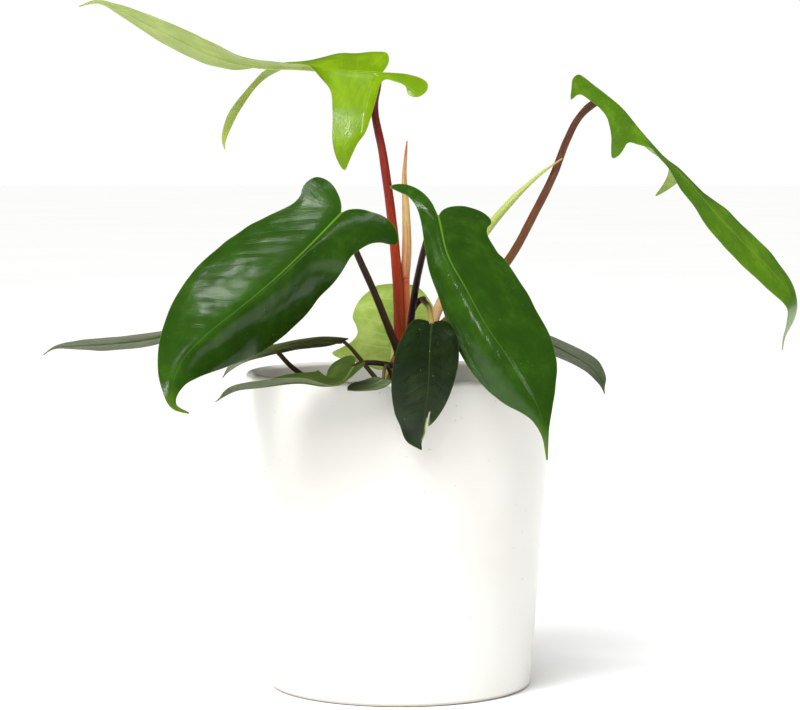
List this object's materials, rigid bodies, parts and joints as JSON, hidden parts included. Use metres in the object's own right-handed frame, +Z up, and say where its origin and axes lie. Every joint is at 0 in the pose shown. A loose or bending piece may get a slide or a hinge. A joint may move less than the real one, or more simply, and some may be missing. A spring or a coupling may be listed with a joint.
{
  "type": "potted philodendron",
  "caption": "Potted philodendron with long lobed glossy leaves on arching stalks and a slim unopened leaf, in a plain tapered pot filled with soil.",
  "frame": {"origin": "centre of the pot's underside", "axes": "+Z up, and the plant's front faces -Y"},
  "size_m": [0.4407, 0.246, 0.3933],
  "materials": {
    "leaf_dark": "glossy",
    "leaf_old": "satin",
    "leaf_pale": "satin",
    "leaf_bright": "satin",
    "leaf_fresh": "satin",
    "leaf_small": "satin",
    "stalk_red": "satin",
    "stalk_brown": "satin",
    "stalk_green": "satin",
    "shoot": "satin",
    "sheath": "matte",
    "new_leaf": "satin",
    "crown_bark": "matte",
    "potting_soil": "matte",
    "pot_glaze": "satin"
  },
  "bodies": {
    "root": {"pot": "pot_glaze", "soil": "potting_soil", "crown": "crown_bark", "leaf_front_left": "leaf_dark", "leaf_front_right": "leaf_dark", "leaf_front_small": "leaf_old", "leaf_back_pale": "leaf_pale", "leaf_top_left": "leaf_bright", "leaf_top_right": "leaf_fresh", "leaf_far_left": "leaf_dark", "leaf_mid_left": "leaf_dark", "leaf_low_left": "leaf_dark", "leaf_tiny": "leaf_small", "leaf_low_right": "leaf_dark", "petiole_front_left": "stalk_brown", "petiole_front_right": "stalk_brown", "petiole_front_small": "stalk_brown", "petiole_back_pale": "stalk_green", "petiole_top_left": "stalk_red", "petiole_top_right": "stalk_brown", "petiole_far_left": "stalk_brown", "petiole_mid_left": "stalk_green", "petiole_low_left": "stalk_brown", "petiole_tiny": "stalk_green", "petiole_low_right": "stalk_brown", "shoot_internode": "shoot", "shoot_sheath": "sheath", "spear_leaf": "new_leaf"}
  },
  "joints": []
}
